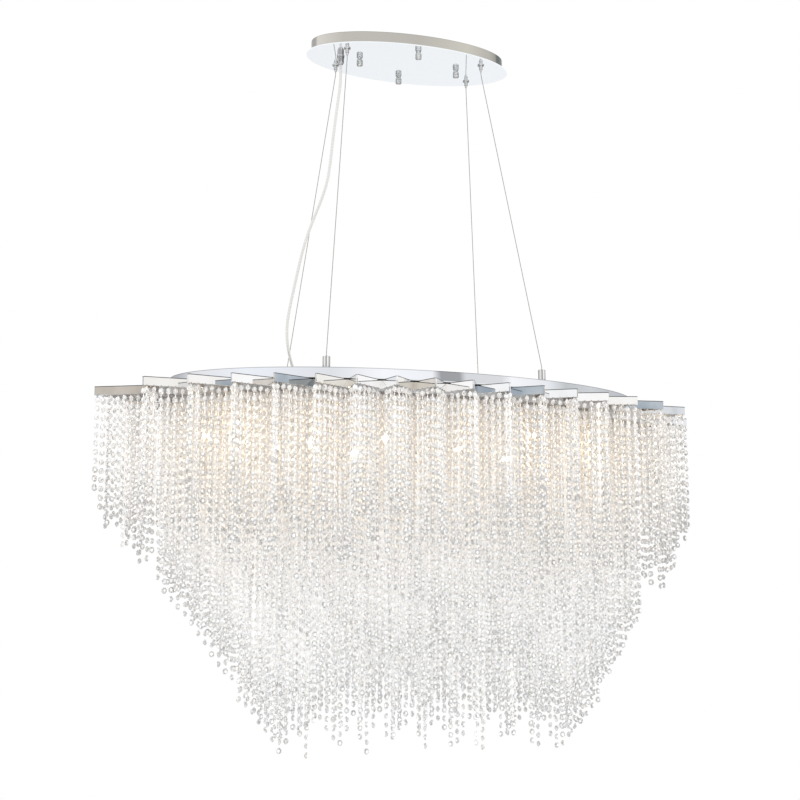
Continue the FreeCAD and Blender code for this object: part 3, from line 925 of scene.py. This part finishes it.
def bead_tones(node, rows, counts, strand, step, sizes, chance):
    """Tones of every facet: strands differ a little, a few carry a painted highlight, painted shade falls on
    the top beads, the outer strands, the right side and the ends, and crown facets get darker at the tips.
    """
    tones = painted_facet_reflections(chance, len(strand), sizes)
    lift = chance.normal(0, strand_drift, len(rows))
    lift += painted_highlight_lift * (chance.random(len(rows)) < painted_highlight_share)
    along_half = rows[:, 0] / corner_half[0]
    lift -= outer_shade * node.startswith("outer") + right_shade * np.clip(along_half, 0, 1)
    lift -= end_shade * np.clip((np.abs(along_half) - end_share) / (1 - end_share), 0, 1)
    tones = (tones + lift[strand][:, None]) * (1 - painted_top_shade * np.exp(-step / top_beads))[:, None]
    tips = np.minimum(1, tip_tone + (1 - tip_tone) * (counts[strand] - step) / tip_beads)
    return np.minimum(np.where(sizes > crown_corners, tones, tones * tips[:, None]), lightest_tone)


def hang_strands(name, node, rows, shapes, lamps, chance, materials):
    """The beads, links and hooks of some strands of a node, as one piece."""
    bead, link, hook = shapes
    counts = np.round((rows[:, 2] - rows[:, 3]) / bead_pitch).astype(int)
    strand = np.repeat(np.arange(len(rows)), counts)
    step = np.concatenate([np.arange(count) for count in counts])
    phase = chance.uniform(*phase_room, len(rows))[strand]
    pitch = chance.uniform(*pitch_room, len(rows))[strand] * bead_pitch
    drop = (step + 0.5) * pitch + phase * bead_pitch
    places = np.stack([rows[strand, 0], rows[strand, 1], rows[strand, 2] - drop], 1)
    spins = chance.uniform(0, 2 * math.pi, len(rows))[strand] + chance.normal(0, bead_twist, len(places))
    tilts = chance.normal(0, bead_tilt, len(places))
    # Painted warm glow: the nearer a bead hangs to a lamp, the more it glows
    nearest = np.linalg.norm(places[:, None, :] - lamps[None, :, :], axis=2).min(1)
    glows = np.exp(-(nearest / glow_reach) ** 2)
    tones = bead_tones(node, rows, counts, strand, step, bead[2], chance)
    # Painted sparks: beads on these lines glow brightly
    tones[sparkling(places, lamps)] = 1.0
    copies = Copies()
    copies.add(bead, places, turns_about(spins, tilts), 0, tones, glows)
    joints = places + np.stack([np.zeros(len(places)), np.zeros(len(places)), pitch / 2], 1)
    level_turns = turns_about(spins, np.zeros(len(spins)))
    between = step > 0
    tops = ~between
    joints[tops, 2] = rows[strand[tops], 2]
    # Links keep their own grey; the hooks get painted shade under the strips
    for shape, chosen, tone in ((link, between, 1.0), (hook, tops, 0.0)):
        plain = np.full((chosen.sum(), len(shape[2])), tone)
        copies.add(shape, joints[chosen], level_turns[chosen], 1, plain, glows[chosen])
    made = copies.build(name)
    finished(made, name, "fixture", "crystal", *materials)
    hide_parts(node)


def make_strands(materials):
    """One piece for each outer sector, and for each straight row of an inner node."""
    shapes = (bead_shape(), spindle_shape(link_radius, link_half_height),
              spindle_shape(hook_radius, hook_half_height))
    lamps = lamp_centres()
    chance = np.random.default_rng(seed)
    for node in sorted(frame["nodes"]):
        if node.startswith("outer_strands"):
            hang_strands("beads_" + node, node, solids_of(node), shapes, lamps, chance, materials)
        if node.startswith("row_strands"):
            rows = solids_of(node)
            for number, y in enumerate(sorted(set(np.round(rows[:, 1], 4)))):
                chosen = rows[np.abs(rows[:, 1] - y) < same_row]
                hang_strands(f"beads_{node}_{number + 1}", node, chosen, shapes, lamps, chance, materials)


# Zigzag of mirror strips
def bracket_legs():
    """Plan places of each leg's inner and outer end."""
    corners = [math.acos(1 - 2 * k / steps_each_side) for k in range(steps_each_side)]
    corners += [math.pi + angle for angle in corners]
    legs = []
    for first, second in zip(corners, corners[1:] + [2 * math.pi]):
        middle = (first + second) / 2
        inner = (vertex_half[0] * math.cos(middle), vertex_half[1] * math.sin(middle))
        for angle in (first, second):
            legs.append((inner, (corner_half[0] * math.cos(angle), corner_half[1] * math.sin(angle))))
    return legs


def strip_shape():
    """A strip one unit long, from its inner end along X, with soft edges and a line along its top, where the
    painted dark line starts.
    """
    deselect()
    bpy.ops.mesh.primitive_cube_add(size=1, location=(0.5, 0, strip_height / 2))
    strip = bpy.context.object
    strip.scale = (1, strip_thickness, strip_height)
    bpy.ops.object.transform_apply(location=True, rotation=False, scale=True)
    bevelled(strip, strip_thickness / 4, 1)
    bpy.ops.object.mode_set(mode="EDIT")
    bpy.ops.mesh.select_all(action="SELECT")
    bpy.ops.mesh.bisect(plane_co=(0, 0, strip_height - edge_band), plane_no=(0, 0, 1))
    bpy.ops.object.mode_set(mode="OBJECT")
    return as_shape(strip)


def make_strips(material):
    """Two legs for each V: each side of a leg has its own painted reflection, and its top edge has a painted
    dark line.
    """
    shape = strip_shape()
    middles = face_middles(shape)
    chance = np.random.default_rng(seed)
    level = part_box("v_brackets_near")[0].z
    groups = {"v_brackets_near": [], "v_brackets_far": []}
    for inner, outer in bracket_legs():
        run = Vector(outer) - Vector(inner)
        length = run.length - leg_gap
        x, y = run.x / run.length, run.y / run.length
        turn = np.array([[x, -y, 0], [y, x, 0], [0, 0, 1]]) @ np.diag([length, 1, 1])
        sides = chance.choice(painted_leg_reflections, 2)
        tones = np.where(middles[:, 1] > 0, sides[0], sides[1])
        # Painted dark line along the top edge
        tones[middles[:, 2] > strip_height - edge_band] = 0.0
        groups["v_brackets_near" if inner[1] < 0 else "v_brackets_far"].append((inner, turn, tones))
    for node, legs in groups.items():
        copies = Copies()
        places = np.array([(*inner, level) for inner, turn, tones in legs])
        turns = np.array([turn for inner, turn, tones in legs])
        tones = np.array([tones for inner, turn, tones in legs])
        copies.add(shape, places, turns, 0, tones, np.zeros(len(legs)))
        strips = finished(copies.build("strips"), node.replace("v_brackets", "mirror_strips"), "fixture",
                          "mirror_chrome", material)
        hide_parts(node)


# Turned fittings
def grooved(shape, radius, depth, diamonds):
    """Moves every second vertex of a shape's outer band inwards: diamonds of a knurl, or upright ribs."""
    vertices, loops, sizes = shape
    around = np.hypot(vertices[:, 0], vertices[:, 1])
    step = np.round(np.arctan2(vertices[:, 1], vertices[:, 0]) / (2 * math.pi / turning_steps)).astype(int)
    levels = np.unique(np.round(vertices[:, 2], 6))
    level = np.searchsorted(levels, np.round(vertices[:, 2], 6)) if diamonds else 0
    moved = (np.abs(around - radius) < merge_distance) & ((step + level) % 2 == 1)
    vertices = vertices.copy()
    vertices[moved, :2] *= (radius - depth) / radius
    return vertices, loops, sizes


def painted_room_reflections(shape, chance, outline, speckle, stripe=0.0):
    """Painted reflections: pale front and back and dark sides, as a round bar shows a bright room; a painted
    dark stripe darkens the middle.
    """
    middles = face_middles(shape)
    azimuth = np.arctan2(middles[:, 1], middles[:, 0]) - front_azimuth
    pale = np.abs(np.cos(azimuth)) ** outline - stripe * (np.abs(np.sin(azimuth)) < stripe_half_width)
    return pale * (1 - speckle * chance.random(len(middles))) + chance.normal(0, tone_scatter, len(middles))


def make_fittings(material):
    """Grips, posts, gland, strain relief, cap nuts and collars, with how strongly each shows its painted
    reflection of the room.
    """
    chance = np.random.default_rng(seed)
    profiles = (grip_profile, post_profile, relief_profile, gland_profile, cap_nut_profile, collar_profile)
    grip, post, relief, gland, nut, collar = (as_shape(lathe(profile, turning_steps)) for profile in profiles)
    gland = grooved(gland, rib_radius, rib_depth, False)
    nut = grooved(nut, knurl_radius, knurl_depth, True)
    pieces = [
        ("cable_grips", "grip_bodies", "fixture", grip, (1.2, 0.4)),
        ("cable_posts", "round_posts", "fixture", post, (1.2, 0.1, 0.7)),
        ("cord_gland", "ribbed_gland", "fixture", gland, (1.0, 0.8)),
        ("frame_strain_relief", "cord_relief", "fixture", relief, (1.0, 0.3)),
    ]
    pieces += [(f"cap_nut_{k}", f"knurled_nut_{k}", f"cap_nut_{k}", nut, (0.7, 0.6)) for k in range(1, 5)]
    pieces += [(f"release_collar_{k}", f"sprung_collar_{k}", f"release_collar_{k}", collar, (1.2, 0.4))
               for k in range(1, 5)]
    for node, name, body, shape, look in pieces:
        rows = solids_of(node)
        copies = Copies()
        tones = np.array([painted_room_reflections(shape, chance, *look) for row in rows])
        copies.add(shape, rows[:, [0, 1, 3]], unturned(len(rows)), 0, tones, np.zeros(len(rows)))
        piece = finished(copies.build(name), name, body, "nickel", material)
        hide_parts(node)


# Lamps
def placed_copy(mesh, name, x, y, z):
    """A copy of a modelled mesh, as its own object."""
    copy = bpy.data.objects.new(name, mesh.copy())
    bpy.context.scene.collection.objects.link(copy)
    copy.location = (x, y, z)
    bpy.context.view_layer.update()
    return copy


def filament_bundle():
    """Thin rods in a ring at the middle of the glass."""
    half_section = [
        (0, -filament_half_length),
        (filament_radius, -filament_half_length),
        (filament_radius, filament_half_length),
        (0, filament_half_length),
    ]
    rod = as_shape(lathe(half_section, filament_steps))
    angles = np.arange(filament_count) * 2 * math.pi / filament_count
    across, deep = filament_ring * np.cos(angles), filament_ring * np.sin(angles)
    places = np.stack([across, deep, np.full(filament_count, glass_middle)], 1)
    tones = np.zeros((filament_count, len(rod[2])))
    rods = Copies()
    rods.add(rod, places, unturned(filament_count), 0, tones, np.zeros(filament_count))
    return rods.build("filaments")


def make_lamps(glass_material, base_material, filament_material):
    """Each lamp: a glass tube with a closed round end, a threaded base and filaments."""
    glass = lathe(glass_profile, glass_steps)
    smooth(glass, 50)
    thread = [(thread_crest if k % 2 else thread_root, thread_start + k * thread_step)
              for k in range(thread_corners)]
    base = lathe(base_profile + thread + base_cap, base_steps)
    smooth(base)
    parts = (
        (glass, "glass", glass_material),
        (base, "base", base_material),
        (filament_bundle(), "filaments", filament_material),
    )
    for name in lamp_nodes():
        x, y, top, bottom = solids_of(name)[0]
        for part, label, material in parts:
            copy = placed_copy(part.data, name, x, y, bottom)
            finished(copy, f"{name}_{label}", name, "lamp_glass", material)
            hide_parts(name)
    for part, label, material in parts:
        bpy.data.objects.remove(part)


# Studio
def make_stage():
    deselect()
    low = cad_bounds[0]
    bpy.ops.mesh.primitive_circle_add(vertices=floor_corners, radius=floor_radius, fill_type="NGON",
                                      location=(0, 0, low.z - floor_drop))
    floor = bpy.context.object
    floor.name = "studio_floor"
    made = Finish("studio_floor", roughness=0.7)
    made.set("Base Color", made.ramp(made.noise(0.6), [(0.3, (0.90, 0.90, 0.90)), (0.7, (0.92, 0.92, 0.92))]))
    floor.data.materials.append(made.material)


def area_light(name):
    data = bpy.data.lights.new(name, "AREA")
    data.shape = "SQUARE"
    data.size = light_sizes[name]
    data.energy = light_powers[name]
    light = bpy.data.objects.new(name, data)
    light.location = light_places[name]
    light.rotation_euler = (Vector(light_aim) - light.location).to_track_quat("-Z", "Y").to_euler()
    light.visible_glossy = False
    bpy.context.scene.collection.objects.link(light)


def make_lights():
    """An even white room, with a stronger light from the left and a softer one from the right."""
    world = bpy.data.worlds.new("studio")
    bpy.context.scene.world = world
    world.use_nodes = True
    background = world.node_tree.nodes["Background"]
    background.inputs["Color"].default_value = (1, 1, 1, 1)
    background.inputs["Strength"].default_value = 1.0
    area_light("key")
    area_light("fill")


def main():
    scene = bpy.context.scene
    scene.view_settings.view_transform = "Standard"
    scene.cycles.max_bounces = 16
    scene.cycles.glossy_bounces = 12
    clear_defaults()
    make_camera()
    finishes = {
        "mirror_chrome": mirror_finish("bar_mirror", (0.80, 0.80, 0.81), 0.3, 0.05),
        "chrome": ring_finish(),
        "frame_chrome": mirror_finish("frame_chrome", (0.78, 0.79, 0.80), 0.08, 0.08),
        "canopy_mirror": mirror_finish("canopy_mirror", (0.93, 0.965, 1.0), 0.015, 0.03),
        "satin_nickel": rim_finish(),
        "zinc_steel": satin_finish("zinc_steel", (0.66, 0.67, 0.69), 0.3, 90.0),
        "cable_steel": cable_finish(),
        "clear_cord": cord_finish(),
        "lamp_glass": lamp_glass_finish(),
        "socket_white": plastic_finish("socket_ceramic", (0.88, 0.87, 0.84), 0.35),
        "white_paint": plastic_finish("white_paint", (0.86, 0.86, 0.86), 0.3),
        "wire_white": plastic_finish("wire_sheath", (0.85, 0.85, 0.83)),
        "connector_plastic": plastic_finish("connector_plastic", (0.80, 0.34, 0.08)),
        "ground_green": satin_finish("ground_green", (0.08, 0.42, 0.16), 0.35, 200.0),
    }
    make_cord(finishes["clear_cord"])
    slots = {part["node"]: part["material_slot"] for part in frame["record"]["subparts"]}
    for name, obj in frame["nodes"].items():
        finish = finishes.get(slots[name])
        if finish is not None:
            obj.data.materials.clear()
            obj.data.materials.append(finish)
    ring = oval_band("oval_ring", ring_wall)
    finished(ring, "ring_band", "fixture", "chrome", finishes["chrome"])
    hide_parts("oval_ring")
    rim = oval_band("canopy_rim", rim_wall)
    finished(rim, "rim_band", "fixture", "satin_nickel", finishes["satin_nickel"])
    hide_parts("canopy_rim")
    plate = oval_plate("canopy_plate")
    finished(plate, "mirror_plate", "fixture", "canopy_mirror", finishes["canopy_mirror"])
    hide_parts("canopy_plate")
    make_strips(strip_finish())
    make_fittings(fitting_finish())
    make_lamps(finishes["lamp_glass"], finishes["zinc_steel"], filament_finish())
    make_strands((crystal_finish(), link_finish()))
    make_stage()
    make_lights()


main()
